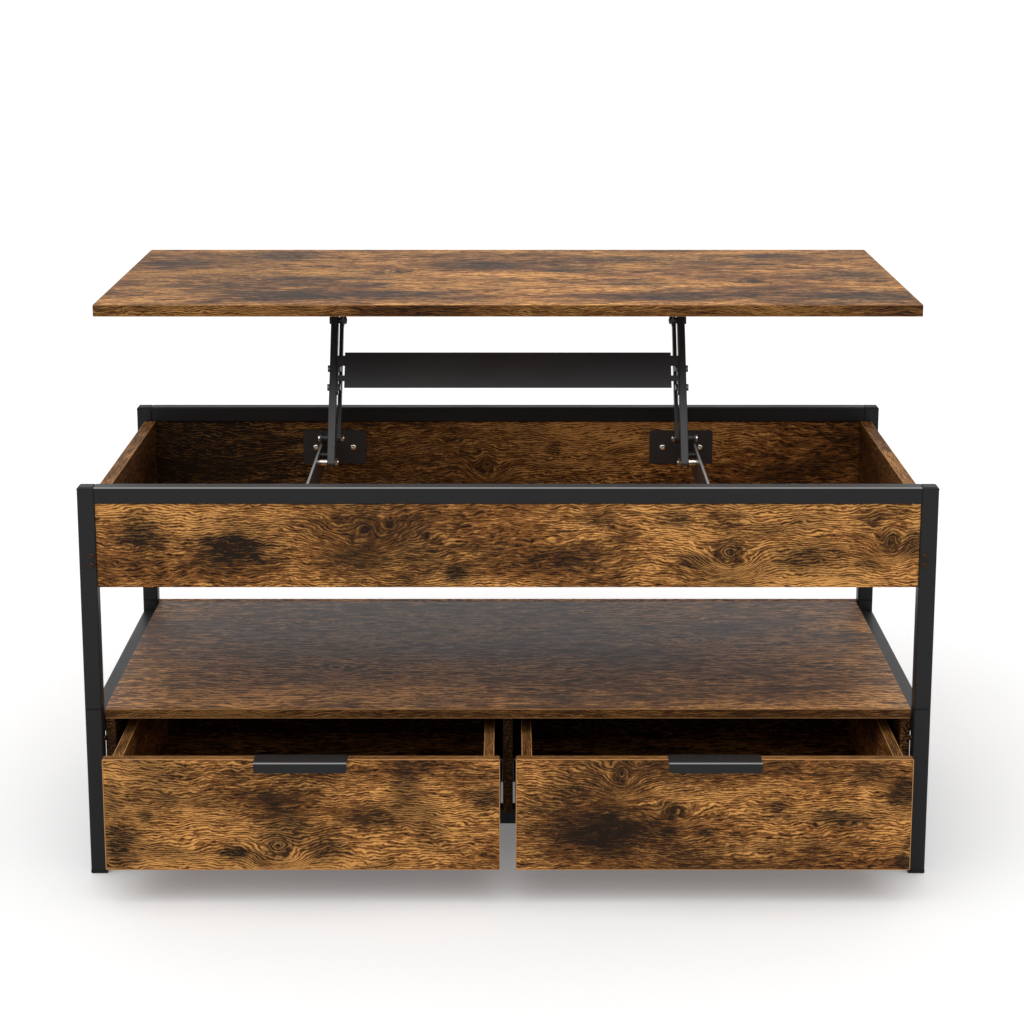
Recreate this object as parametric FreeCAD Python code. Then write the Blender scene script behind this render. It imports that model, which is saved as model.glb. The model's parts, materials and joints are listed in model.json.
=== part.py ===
import FreeCAD, Part
import os
from math import cos, sin, radians

# Lift-top coffee table: a square-tube frame with a storage compartment under a raising top,
# an open shelf and two drawers. Millimetres, X to the right, Y to the back, Z up.
# Lengths along Y are counted from the front faces of the posts until the parts are written.

V = FreeCAD.Vector
ALONG_X = V(1, 0, 0)
ALONG_Y = V(0, 1, 0)
ALONG_Z = V(0, 0, 1)

# Frame of square tube
frame_width = 1000.0
frame_depth = 470.0
frame_height = 477.0
tube_size = 20.0
tube_wall = 1.5
tube_round = 2.0
post_split_height = 207.0
shelf_rail_top = 192.0
bottom_rail_base = 39.0
bottom_rail_setback = 60.0
cap_height = 3.0
cap_bevel = 1.8
foot_height = 5.0
foot_bevel = 1.2
plug_length = 15.0
plug_clearance = 0.2
spigot_length = 60.0

# Boards
top_width = 1050.0
top_depth = 500.0
top_board = 15.0
side_board = 15.0
case_board = 12.0
board_round = 0.8
compartment_drop = 121.0
side_panel_inset = 5.0
apron_recess = 3.0
back_recess = 4.0
shelf_top = 204.5
shelf_setback = 10.0
shelf_side_gap = 2.0
case_setback = 46.0

# Drawers
drawer_pull = 131.0
front_base = 41.5
front_height = 134.0
front_side_reveal = 2.0
front_middle_reveal = 4.0
drawer_board = 12.0
drawer_rear_gap = 26.0
drawer_side_drop = 3.5
drawer_side_height = 106.0
drawer_bottom_board = 5.0
drawer_bottom_rise = 4.0
slide_gap = 10.0
slide_rear_gap = 44.0
slide_height = 30.0
slide_wall = 1.2
slide_clearance = 0.3
slide_side_room = 1.4
slide_setback = 14.0
slide_rise = 42.0

# Drawer pulls of bent sheet
pull_width = 107.0
pull_reach = 15.0
pull_lip = 12.5
pull_leg = 18.0
pull_sheet = 2.0
pull_corner = 4.0
pull_bend = 1.5

# Lift linkage
arm_length = 200.0
arm_raised_angle = 58.0
arm_closed_angle = 174.5
arm_tail = 9.5
arm_height = 15.0
arm_width = 10.0
arm_wall = 1.5
arm_bend = 1.2
pivot_from_back = 130.0
pivot_drop = 50.0
follower_offset_back = 55.0
follower_offset_up = 20.0
follower_height = 14.0
follower_sheet = 5.0
follower_tuck = 1.0
top_closed_gap = 0.8
plane_gap = 1.0
running_clearance = 0.05
face_clearance = 0.3

# Lift base rails
base_inner_x = 246.0
base_sheet = 3.0
base_arm_gap = 10.5
base_rail_drop = 38.0
base_rail_height = 40.0
base_lug_radius = 9.0
base_boss_radius = 6.0
end_plate_width = 85.0
end_plate_inset = 12.0
end_plate_drop = 32.0
end_plate_height = 46.0
end_plate_corner = 3.5
end_screw_spacing = 50.0
stop_pin_radius = 3.0
stop_contact_along = 14.0

# Cross plate between the lift arms
cross_plate_near = 100.5
cross_plate_width = 49.5
cross_plate_sheet = 2.0
cross_plate_offset = 1.0
cross_plate_end_gap = 8.0
cross_tab_starts = (9.5, 31.0)
cross_tab_widths = (7.5, 14.0)
cross_ear_lead = 7.0
cross_ear_reach = 3.0
cross_ear_corner = 4.0
cross_bolt_starts = (3.0, 29.5)
cross_bolt_across = 2.5

# Brackets under the top
bracket_sheet = 2.0
bracket_length = 280.0
bracket_lead = 46.0
bracket_leg = 35.0
bracket_strip = 16.0
bracket_lug_radius = 9.0
bracket_screw_shares = (0.06, 0.35, 0.65, 0.94)

# Fasteners
pivot_radius = 3.0
pivot_head_radius = 5.0
pivot_head_height = 2.0
pivot_collar_radius = 4.2
pivot_nut_radius = 5.2
pivot_nut_height = 3.2
pivot_end = 0.8
cross_bolt_radius = 2.5
cross_head_radius = 4.5
cross_head_height = 2.6
cross_nut_radius = 4.6
cross_nut_height = 2.7
screw_radius = 2.0
screw_head_radius = 4.4
screw_head_height = 2.6
screw_grip = 9.0
frame_bolt_radius = 2.5
frame_bolt_head_radius = 3.6
frame_bolt_head_height = 2.0
frame_bolt_inset = 14.5
frame_bolt_drops = (82.0, 93.0)
frame_bolt_grip = 14.0
inner_bolt_height = 168.0
inner_bolt_grip = 4.0
head_round = 2.2
dome_share = 0.85
recess_width = 0.9
recess_depth = 1.2
hole_clearance = 0.1

# One overrun serves every cut
cut_overrun = 2.0

# Heights and widths that follow from the frame
half_width = frame_width / 2
inner_half = half_width - tube_size
compartment_half = inner_half - side_panel_inset
rail_base = frame_height - tube_size
panel_base = frame_height - compartment_drop
rear_post_front = frame_depth - tube_size
apron_back = apron_recess + case_board
back_panel_front = frame_depth - back_recess - case_board
bottom_rail_top = bottom_rail_base + tube_size
shelf_base = shelf_top - case_board
case_inner_x = inner_half - case_board
divider_half = case_board / 2
post_middle_x = half_width - tube_size / 2
tube_bore = tube_size - 2 * tube_wall

# The planes of the linkage on one side, from the base rail inwards
arm_outer_x = base_inner_x - base_arm_gap
arm_inner_x = arm_outer_x - arm_width
ear_inner_x = arm_inner_x - cross_plate_sheet
follower_outer_x = arm_inner_x + follower_tuck
follower_inner_x = follower_outer_x - follower_sheet
bracket_outer_x = min(ear_inner_x, follower_inner_x) - plane_gap
bracket_inner_x = bracket_outer_x - bracket_sheet

# Pivots, and the way that the top travels from closed to raised
arm_pivot = V(0, frame_depth - pivot_from_back, frame_height - pivot_drop)
follower_pivot = arm_pivot + V(0, follower_offset_back, follower_offset_up)


def swing(angle):
    """Step from a lower pivot to its upper pivot when the arm stands at this angle."""
    return V(0, arm_length * cos(radians(angle)), arm_length * sin(radians(angle)))


raised = swing(arm_raised_angle)
top_travel = raised - swing(arm_closed_angle)
top_pivot = arm_pivot + raised
follower_top_pivot = follower_pivot + raised
top_front = (frame_depth - top_depth) / 2 + top_travel.y
top_underside = frame_height + top_closed_gap + top_travel.z

# The origin lies on the floor under the middle of the table as it stands in use
pull_front = case_setback - pull_reach - drawer_pull
origin_setback = (pull_front + top_front + top_depth) / 2

parts = {}


def inset(limits, amount):
    """A pair of limits drawn in at both ends."""
    return (limits[0] + amount, limits[1] - amount)


def from_middle(middle, size):
    """A pair of limits of this size about a middle."""
    return (middle - size / 2, middle + size / 2)


def block(x, y, z):
    """Box between pairs of limits along X, Y and Z."""
    return Part.makeBox(x[1] - x[0], y[1] - y[0], z[1] - z[0], V(x[0], y[0], z[0]))


def edges_along(shape, direction):
    """Straight edges that run along a direction."""
    found = []
    for edge in shape.Edges:
        tangent = edge.tangentAt(edge.FirstParameter)
        if tangent.cross(direction).Length < Part.Precision.confusion():
            found.append(edge)
    return found


def board(x, y, z):
    """Wooden board with every edge eased."""
    plain = block(x, y, z)
    return plain.makeFillet(board_round, plain.Edges)


def square_tube(x, y, z, axis):
    """Length of square tube with rounded corners, hollow along one of the three axes."""
    limits = (x, y, z)
    direction = (ALONG_X, ALONG_Y, ALONG_Z)[axis]
    outer = block(*limits)
    outer = outer.makeFillet(tube_round, edges_along(outer, direction))
    bore = []
    for index, pair in enumerate(limits):
        bore.append(inset(pair, -cut_overrun if index == axis else tube_wall))
    return outer.cut(block(*bore))


def disc(place, direction, radius, length):
    """Solid cylinder from a place along a direction."""
    return Part.makeCylinder(radius, length, place, direction)


def hexagon(place, direction, radius, length, bore):
    """Six-sided nut with a bore."""
    nut = Part.Face(Part.makePolygon(hexagon_points(radius))).extrude(ALONG_Z * length)
    nut = nut.cut(disc(-ALONG_Z * cut_overrun, ALONG_Z, bore, length + 2 * cut_overrun))
    return set_on(nut, place, direction)


def hexagon_points(radius):
    """Closed outline of a hexagon about the origin."""
    corners = range(6 + 1)
    return [V(radius * cos(radians(60 * i)), radius * sin(radians(60 * i)), 0) for i in corners]


def set_on(shape, place, direction):
    """Turn a shape made about the Z axis to a direction, and move it to its place."""
    shape = shape.copy()
    shape.Placement = FreeCAD.Placement(place, FreeCAD.Rotation(ALONG_Z, direction))
    return shape


def screw(head_radius, head_height, radius, grip):
    """Screw about Z with a domed head, seated at zero, and a cross recess."""
    head = disc(V(), ALONG_Z, head_radius, head_height)
    rim = [edge for edge in head.Edges if edge.Vertexes[0].Z > head_height / 2 and edge.Closed]
    head = head.makeFillet(min(head_round, dome_share * head_height), rim[:1])
    arm = inset((-head_radius, head_radius), head_radius / 2)
    slit = from_middle(0, recess_width)
    depth = (head_height - recess_depth, head_height + cut_overrun)
    head = head.cut(block(arm, slit, depth)).cut(block(slit, arm, depth))
    return head.fuse(disc(-ALONG_Z * grip, ALONG_Z, radius, grip)).removeSplitter()


def hole(place, direction, radius, grip):
    """Cutter for the shank of a screw that is seated at a place."""
    start = place + direction * cut_overrun
    return disc(start, -direction, radius + hole_clearance, grip + cut_overrun + hole_clearance)


def mirrored(shape):
    """The left-hand copy of a right-hand shape."""
    return shape.mirror(V(), ALONG_X)


def add_pair(name, shape):
    """Keep a right-hand piece and its left-hand copy."""
    parts[name + "_right"] = shape
    parts[name + "_left"] = mirrored(shape)


def both_sides(shapes):
    """Right-hand shapes and their left-hand copies as one group of separate solids."""
    return Part.makeCompound(shapes + [mirrored(shape) for shape in shapes])


def swung(shape, pivot):
    """Move a shape drawn along Y from a pivot to the raised position of its arm."""
    shape = shape.copy()
    shape.Placement = FreeCAD.Placement(pivot, FreeCAD.Rotation(ALONG_X, arm_raised_angle))
    return shape


def on_arm(along, across):
    """Point beside the raised arm, by its distance along it and in front of it."""
    return arm_pivot + FreeCAD.Rotation(ALONG_X, arm_raised_angle).multVec(V(0, along, across))


def bar(x, start, end, height):
    """Bar with round ends between two distances along Y."""
    radius = height / 2
    body = block(x, (start + radius, end - radius), (-radius, radius))
    for middle in (start + radius, end - radius):
        body = body.fuse(disc(V(x[0], middle, 0), ALONG_X, radius, x[1] - x[0]))
    return body.removeSplitter()


def pivot_hole(pivot):
    """Cutter along X for a pivot pin through the right-hand linkage."""
    radius = pivot_radius + running_clearance
    return disc(V(0, pivot.y, pivot.z), ALONG_X, radius, half_width)


def at_x(pivot, x):
    """The point of a pivot axis at this X."""
    return V(x, pivot.y, pivot.z)


# Right-hand fasteners and the cutters that make their holes
screw_sizes = (screw_head_radius, screw_head_height, screw_radius)
base_grip = base_sheet + screw_grip
end_plate_middle = base_inner_x - end_plate_inset
end_screw_z = frame_height - end_plate_drop - end_plate_height / 2
base_screw_seats = []
for end_screw_x in from_middle(end_plate_middle, end_screw_spacing):
    front_seat = V(end_screw_x, apron_back + base_sheet, end_screw_z)
    back_seat = V(end_screw_x, back_panel_front - base_sheet, end_screw_z)
    base_screw_seats.append((front_seat, ALONG_Y))
    base_screw_seats.append((back_seat, -ALONG_Y))
base_screw_holes = [hole(p, d, screw_radius, base_grip) for p, d in base_screw_seats]

bracket_start = top_pivot.y - bracket_lead
bracket_screw_x = bracket_inner_x + (bracket_leg + bracket_sheet) / 2
bracket_screw_z = top_underside - bracket_sheet
bracket_screw_seats = []
for share in bracket_screw_shares:
    seat = V(bracket_screw_x, bracket_start + share * bracket_length, bracket_screw_z)
    bracket_screw_seats.append((seat, -ALONG_Z))
bracket_grip = bracket_sheet + screw_grip
bracket_screw_holes = [hole(p, d, screw_radius, bracket_grip) for p, d in bracket_screw_seats]

frame_bolt_x = half_width - frame_bolt_inset
post_grip = tube_size + frame_bolt_grip
frame_bolt_seats = []
for drop in frame_bolt_drops:
    frame_bolt_seats.append((V(frame_bolt_x, 0, frame_height - drop), -ALONG_Y))
    frame_bolt_seats.append((V(frame_bolt_x, frame_depth, frame_height - drop), ALONG_Y))
frame_bolt_holes = [hole(p, d, frame_bolt_radius, post_grip) for p, d in frame_bolt_seats]
inner_bolt_seat = V(inner_half, tube_size / 2, inner_bolt_height)
inner_bolt_hole = hole(inner_bolt_seat, -ALONG_X, frame_bolt_radius, inner_bolt_grip)


def cut_all(shape, cutters):
    """Cut a shape by each of several cutters."""
    for cutter in cutters:
        shape = shape.cut(cutter)
    return shape


def cut_both(shape, cutters):
    """Cut a shape that spans both sides by right-hand cutters and their left-hand copies."""
    return cut_all(shape, cutters + [mirrored(cutter) for cutter in cutters])


def make_frame():
    """Posts in two lengths, rails, caps, feet and the spigots that join the posts."""
    post_x = (inner_half, half_width)
    rows = {"front": (0, tube_size), "rear": (rear_post_front, frame_depth)}
    caps, feet, spigots = [], [], []
    for row, y in rows.items():
        upper = square_tube(post_x, y, (post_split_height, frame_height - cap_height), 2)
        add_pair("upper_post_" + row, cut_all(upper, frame_bolt_holes))
        lower = square_tube(post_x, y, (foot_height, post_split_height), 2)
        add_pair("lower_post_" + row, lower.cut(inner_bolt_hole))
        bore_x = from_middle(post_middle_x, tube_bore - 2 * plug_clearance)
        bore_y = from_middle((y[0] + y[1]) / 2, tube_bore - 2 * plug_clearance)
        caps.append(end_cap(post_x, y, bore_x, bore_y))
        feet.append(end_foot(post_x, y, bore_x, bore_y))
        spigots.append(block(bore_x, bore_y, from_middle(post_split_height, spigot_length)))
        rail = square_tube((-inner_half, inner_half), y, (rail_base, frame_height), 0)
        parts[row + "_top_rail"] = rail
    parts["post_caps"] = both_sides(caps)
    parts["post_feet"] = both_sides(feet)
    parts["post_spigots"] = both_sides(spigots)
    between = (tube_size, rear_post_front)
    shelf_rail_z = (shelf_rail_top - tube_size, shelf_rail_top)
    bottom_z = (bottom_rail_base, bottom_rail_top)
    add_pair("shelf_rail", square_tube(post_x, between, shelf_rail_z, 1))
    add_pair("bottom_side_rail", square_tube(post_x, between, bottom_z, 1))
    front_y = (bottom_rail_setback, bottom_rail_setback + tube_size)
    across = (-inner_half, inner_half)
    parts["front_bottom_rail"] = square_tube(across, front_y, bottom_z, 0)
    parts["rear_bottom_rail"] = square_tube(across, rows["rear"], bottom_z, 0)


def end_cap(x, y, bore_x, bore_y):
    """Bevelled cap on a post, with its plug in the bore."""
    base = frame_height - cap_height
    cap = block(x, y, (base, frame_height))
    rim = [edge for edge in cap.Edges if edge.BoundBox.ZMin > base + cap_height / 2]
    cap = cap.makeChamfer(cap_bevel, rim)
    return cap.fuse(block(bore_x, bore_y, (base - plug_length, base))).removeSplitter()


def end_foot(x, y, bore_x, bore_y):
    """Foot under a post, with its plug in the bore."""
    foot = block(x, y, (0, foot_height))
    rim = [edge for edge in foot.Edges if edge.BoundBox.ZMax < foot_height / 2]
    foot = foot.makeChamfer(foot_bevel, rim)
    plug = block(bore_x, bore_y, (foot_height, foot_height + plug_length))
    return foot.fuse(plug).removeSplitter()


def make_boards():
    """The compartment, the shelf and the case around the drawers."""
    across = (-inner_half, inner_half)
    panel_z = (panel_base, rail_base)
    floor_y = (apron_back, back_panel_front)
    apron = board(across, (apron_recess, apron_back), panel_z)
    parts["front_apron"] = cut_both(apron, base_screw_holes)
    back_y = (back_panel_front, back_panel_front + case_board)
    parts["back_panel"] = cut_both(board(across, back_y, panel_z), base_screw_holes)
    side_x = (compartment_half, compartment_half + side_board)
    side = board(side_x, (tube_size, rear_post_front), panel_z)
    add_pair("compartment_side", cut_all(side, frame_bolt_holes))
    floor_z = (panel_base, panel_base + case_board)
    parts["compartment_floor"] = board((-compartment_half, compartment_half), floor_y, floor_z)
    shelf_x = inset(across, shelf_side_gap)
    shelf_y = (shelf_setback, back_panel_front)
    parts["shelf"] = board(shelf_x, shelf_y, (shelf_base, shelf_top))
    case_y = (case_setback, back_panel_front)
    case_z = (bottom_rail_top, shelf_base)
    side_y = (tube_size, back_panel_front)
    add_pair("lower_side", board((case_inner_x, inner_half), side_y, case_z))
    parts["drawer_divider"] = board((-divider_half, divider_half), case_y, case_z)
    parts["lower_back_panel"] = board(across, back_y, (bottom_rail_top, shelf_top))


def channel(x_web, x_open, y, z):
    """Sheet channel along Y: a web at one X and two flanges that reach to another."""
    toward = 1 if x_open > x_web else -1
    web_inner = x_web + toward * slide_wall
    outer = block(sorted((x_web, x_open)), y, z)
    hollow = block(sorted((web_inner, x_open + toward * cut_overrun)), inset(y, -cut_overrun),
                   inset(z, slide_wall))
    return outer.cut(hollow)


def drawer_right():
    """Pieces of the right-hand drawer, in its closed place."""
    front_x = (divider_half + front_middle_reveal, case_inner_x - front_side_reveal)
    box_x = (divider_half + slide_gap, case_inner_x - slide_gap)
    front_back = case_setback + drawer_board
    box_y = (front_back, back_panel_front - drawer_rear_gap)
    front_z = (front_base, front_base + front_height)
    side_top = front_z[1] - drawer_side_drop
    side_z = (side_top - drawer_side_height, side_top)
    inside_x = inset(box_x, drawer_board)
    inside_y = (box_y[0], box_y[1] - drawer_board)
    bottom_base = side_z[0] + drawer_bottom_rise
    slide_middle = side_z[0] + slide_rise
    made = {}
    made["front"] = board(front_x, (case_setback, front_back), front_z)
    made["inner_side"] = board((box_x[0], inside_x[0]), box_y, side_z)
    made["outer_side"] = board((inside_x[1], box_x[1]), box_y, side_z)
    made["back"] = board(inside_x, (inside_y[1], box_y[1]), side_z)
    bottom_z = (bottom_base, bottom_base + drawer_bottom_board)
    made["bottom"] = block(inside_x, inside_y, bottom_z)
    made["pull"] = drawer_pull_right(sum(front_x) / 2, front_back, front_z[1])
    slide_y = (case_setback + slide_setback, back_panel_front - slide_rear_gap)
    fixed_z = from_middle(slide_middle, slide_height)
    runner_z = inset(fixed_z, slide_wall + slide_clearance)
    reach = slide_gap - slide_side_room
    fixed = [channel(divider_half, divider_half + reach, slide_y, fixed_z),
             channel(case_inner_x, case_inner_x - reach, slide_y, fixed_z)]
    reach = slide_gap - slide_wall - slide_side_room
    runners = [channel(box_x[0], box_x[0] - reach, slide_y, runner_z),
               channel(box_x[1], box_x[1] + reach, slide_y, runner_z)]
    made["runners"] = Part.makeCompound(runners)
    return made, fixed


def drawer_pull_right(middle, front_back, front_top):
    """Bent-sheet pull over the top edge of a drawer front, with a lip ahead of it."""
    x = from_middle(middle, pull_width)
    lip_y = (case_setback - pull_reach, case_setback - pull_reach + pull_sheet)
    plate_y = (lip_y[0], front_back + pull_sheet)
    plate_top = front_top + pull_sheet
    plate = block(x, plate_y, (front_top, plate_top))
    lip = block(x, lip_y, (plate_top - pull_lip, plate_top))
    lower = [e for e in edges_along(lip, ALONG_Y) if e.BoundBox.ZMax < plate_top - pull_lip / 2]
    lip = lip.makeFillet(pull_corner, lower)
    leg = block(x, (front_back, front_back + pull_sheet), (front_top - pull_leg, plate_top))
    pull = plate.fuse(lip).fuse(leg).removeSplitter()
    bends = []
    for edge in edges_along(pull, ALONG_X):
        outside = edge.BoundBox.YMin < lip_y[1] - pull_sheet / 2
        outside = outside or edge.BoundBox.YMax > front_back + pull_sheet / 2
        if outside and edge.BoundBox.ZMin > plate_top - pull_sheet / 2:
            bends.append(edge)
    return pull.makeFillet(pull_bend, bends)


def make_drawers():
    """Both drawers, pulled out as the table stands, and the channels that they run in."""
    made, fixed = drawer_right()
    for name, shape in made.items():
        shape.translate(-ALONG_Y * drawer_pull)
        parts["drawer_right_" + name] = shape
        parts["drawer_left_" + name] = mirrored(shape)
    parts["slide_channels"] = both_sides(fixed)


def make_lift_base():
    """Base rails across the compartment, with end plates, stop pins, bosses, pivots and screws."""
    length = (apron_back, back_panel_front)
    rail_z = (frame_height - base_rail_drop - base_rail_height, frame_height - base_rail_drop)
    plate_z = (frame_height - end_plate_drop - end_plate_height, frame_height - end_plate_drop)
    base_x = (base_inner_x, base_inner_x + base_sheet)
    base = block(base_x, length, rail_z)
    lug_y = from_middle(follower_pivot.y, 2 * base_lug_radius)
    base = base.fuse(block(base_x, lug_y, (rail_z[0], follower_pivot.z)))
    base = base.fuse(disc(at_x(follower_pivot, base_inner_x), ALONG_X, base_lug_radius, base_sheet))
    for y in ((length[0], length[0] + base_sheet), (length[1] - base_sheet, length[1])):
        plate = block(from_middle(end_plate_middle, end_plate_width), y, plate_z)
        base = base.fuse(plate.makeFillet(end_plate_corner, edges_along(plate, ALONG_Y)))
    stop = on_arm(stop_contact_along, -(arm_height / 2 + stop_pin_radius + face_clearance))
    pin_length = base_inner_x - arm_inner_x
    base = base.fuse(disc(at_x(stop, base_inner_x), -ALONG_X, stop_pin_radius, pin_length))
    boss_length = base_inner_x - follower_outer_x - face_clearance
    base = base.fuse(disc(at_x(follower_pivot, base_inner_x), -ALONG_X, base_boss_radius, boss_length))
    base = cut_all(base.removeSplitter(), base_screw_holes)
    base = base.cut(pivot_hole(arm_pivot)).cut(pivot_hole(follower_pivot))
    add_pair("lift_base", base)
    screw_shape = screw(*screw_sizes, base_grip)
    parts["lift_base_screws"] = both_sides([set_on(screw_shape, p, d) for p, d in base_screw_seats])
    collar_length = base_arm_gap - face_clearance
    collar = disc(at_x(arm_pivot, base_inner_x), -ALONG_X, pivot_collar_radius, collar_length)
    pivots = []
    for pivot, inner, collars in ((arm_pivot, arm_inner_x, [collar]), (follower_pivot, follower_inner_x, [])):
        nut_face = inner - face_clearance
        end = nut_face - pivot_nut_height - pivot_end
        head_face = base_inner_x + base_sheet
        head = disc(at_x(pivot, head_face), ALONG_X, pivot_head_radius, pivot_head_height)
        shank = disc(at_x(pivot, end), ALONG_X, pivot_radius, head_face - end)
        pivots.append(head.multiFuse([shank] + collars).removeSplitter())
        pivots.append(hexagon(at_x(pivot, nut_face), -ALONG_X, pivot_nut_radius,
                              pivot_nut_height, pivot_radius + running_clearance))
    parts["base_pivots"] = both_sides(pivots)


def make_lift_arms():
    """Channel-section lift arms, the plate that ties them, and the follower arms."""
    arm_x = (arm_inner_x, arm_outer_x)
    arm = bar(arm_x, -arm_tail, arm_length + arm_height / 2, arm_height)
    arm = arm.makeFillet(arm_bend, edges_along(arm, ALONG_Y))
    trough_y = (-arm_tail - cut_overrun, arm_length + arm_height)
    trough_z = (-arm_height, arm_height / 2 - arm_wall)
    arm = swung(arm.cut(block(inset(arm_x, arm_wall), trough_y, trough_z)), arm_pivot)
    arm = arm.cut(pivot_hole(arm_pivot)).cut(pivot_hole(top_pivot))
    plate_end = cross_plate_near + cross_plate_width
    tab_y = []
    for start, width in zip(cross_tab_starts, cross_tab_widths):
        tab_y.append((cross_plate_near + start, cross_plate_near + start + width))
    bolt_places = [on_arm(cross_plate_near + start, cross_bolt_across) for start in cross_bolt_starts]
    bolt_holes = []
    for place in bolt_places:
        radius = cross_bolt_radius + hole_clearance
        bolt_holes.append(disc(at_x(place, 0), ALONG_X, radius, half_width))
    add_pair("lift_arm", cut_all(arm, bolt_holes))
    make_cross_plate(tab_y, plate_end, bolt_places, bolt_holes)
    follower = bar((follower_inner_x, follower_outer_x), -follower_height / 2,
                   arm_length + follower_height / 2, follower_height)
    follower = swung(follower, follower_pivot)
    follower = follower.cut(pivot_hole(follower_pivot)).cut(pivot_hole(follower_top_pivot))
    add_pair("follower_arm", follower)


def make_cross_plate(tab_y, plate_end, bolt_places, bolt_holes):
    """Plate in front of the lift arms, with two tabs and one bolted ear at each end."""
    near_z = arm_height / 2 + cross_plate_offset
    plate_z = (near_z, near_z + cross_plate_sheet)
    middle_half = ear_inner_x - cross_plate_end_gap
    plate = block((-middle_half, middle_half), (cross_plate_near, plate_end), plate_z)
    ear_y = (cross_plate_near - cross_ear_lead, tab_y[-1][1])
    ear = block((ear_inner_x, arm_inner_x), ear_y, (-cross_ear_reach, plate_z[1]))
    corners = [e for e in edges_along(ear, ALONG_X) if e.BoundBox.ZMax < 0]
    ear = ear.makeFillet(cross_ear_corner, corners)
    for y in tab_y:
        ear = ear.fuse(block((0, arm_inner_x), y, plate_z))
    plate = swung(plate.fuse(ear).fuse(mirrored(ear)).removeSplitter(), arm_pivot)
    parts["cross_plate"] = cut_both(plate, bolt_holes)
    bolts = []
    for place in bolt_places:
        nut_face = ear_inner_x
        end = nut_face - cross_nut_height
        head = disc(at_x(place, arm_outer_x), ALONG_X, cross_head_radius, cross_head_height)
        shank = disc(at_x(place, end), ALONG_X, cross_bolt_radius, arm_outer_x - end)
        bolts.append(head.fuse(shank).removeSplitter())
        bolts.append(hexagon(at_x(place, nut_face), -ALONG_X, cross_nut_radius, cross_nut_height,
                             cross_bolt_radius + running_clearance))
    parts["cross_plate_bolts"] = both_sides(bolts)


def make_top():
    """The raising top, its two brackets, their screws and the upper pivots."""
    top_y = (top_front, top_front + top_depth)
    top = board(from_middle(0, top_width), top_y, (top_underside, top_underside + top_board))
    parts["tabletop"] = cut_both(top, bracket_screw_holes)
    bracket_y = (bracket_start, bracket_start + bracket_length)
    leg_x = (bracket_inner_x, bracket_inner_x + bracket_leg)
    flange_x = (bracket_inner_x, bracket_outer_x)
    bracket = block(leg_x, bracket_y, (top_underside - bracket_sheet, top_underside))
    strip_z = (top_underside - bracket_strip, top_underside)
    bracket = bracket.fuse(block(flange_x, bracket_y, strip_z))
    bracket = bracket.fuse(bracket_lug()).removeSplitter()
    bracket = bracket.cut(pivot_hole(top_pivot)).cut(pivot_hole(follower_top_pivot))
    add_pair("top_bracket", cut_all(bracket, bracket_screw_holes))
    screw_shape = screw(*screw_sizes, bracket_grip)
    heads = [set_on(screw_shape, p, d) for p, d in bracket_screw_seats]
    parts["top_bracket_screws"] = both_sides(heads)
    parts["top_pivots"] = both_sides(upper_pivots())


def bracket_lug():
    """Lug of a bracket that hangs from the top and holds the two upper pivots."""
    first, second = top_pivot, follower_top_pivot
    r = bracket_lug_radius
    outline = [(first.y - r, top_underside), (first.y - r, first.z), (first.y, first.z - r),
               (second.y, second.z - r), (second.y + r, second.z), (second.y + r, top_underside)]
    points = [V(bracket_inner_x, y, z) for y, z in outline]
    lug = Part.Face(Part.makePolygon(points + points[:1])).extrude(ALONG_X * bracket_sheet)
    for pivot in (first, second):
        lug = lug.fuse(disc(at_x(pivot, bracket_inner_x), ALONG_X, r, bracket_sheet))
    return lug.removeSplitter()


def upper_pivots():
    """Pins of the lift arm and of the follower in the right-hand bracket, and their nuts."""
    made = []
    for pivot, outer, inner in ((top_pivot, arm_outer_x, arm_inner_x),
                                (follower_top_pivot, follower_outer_x, follower_inner_x)):
        end = bracket_inner_x - pivot_nut_height - pivot_end
        head_face = outer + face_clearance
        pin = disc(at_x(pivot, end), ALONG_X, pivot_radius, head_face - end)
        pin = pin.fuse(disc(at_x(pivot, head_face), ALONG_X, pivot_head_radius, pivot_head_height))
        collar = inner - face_clearance - bracket_outer_x
        pin = pin.fuse(disc(at_x(pivot, bracket_outer_x), ALONG_X, pivot_collar_radius, collar))
        made.append(pin.removeSplitter())
        made.append(hexagon(at_x(pivot, bracket_inner_x), -ALONG_X, pivot_nut_radius,
                            pivot_nut_height, pivot_radius + running_clearance))
    return made


def make_frame_bolts():
    """Bolts through the posts into the compartment sides, and those inside the front posts."""
    head = (frame_bolt_head_radius, frame_bolt_head_height, frame_bolt_radius)
    bolts = [set_on(screw(*head, post_grip), p, d) for p, d in frame_bolt_seats]
    bolts.append(set_on(screw(*head, inner_bolt_grip), inner_bolt_seat, -ALONG_X))
    parts["frame_bolts"] = both_sides(bolts)


def write_parts():
    """Move every piece to the floor origin and write it, with the places of the joints."""
    os.makedirs("parts", exist_ok=True)
    to_origin = V(0, -origin_setback, 0)
    for name, shape in parts.items():
        shape.translate(to_origin)
        shape.exportStep("parts/" + name + ".step")
    print(len(parts), "nodes")
    places = {"arm pivot": arm_pivot, "follower pivot": follower_pivot, "top pivot": top_pivot,
              "top corner": V(-top_width / 2, top_front, top_underside)}
    for name, place in places.items():
        print(name, [round(value, 3) for value in place + to_origin])


make_frame()
make_boards()
make_drawers()
make_lift_base()
make_lift_arms()
make_top()
make_frame_bolts()
write_parts()
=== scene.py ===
import json
from math import pi, radians

import bmesh
import bpy
import numpy as np
from bpy.props import FloatProperty, FloatVectorProperty, PointerProperty
from mathutils import Matrix, Vector


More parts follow.
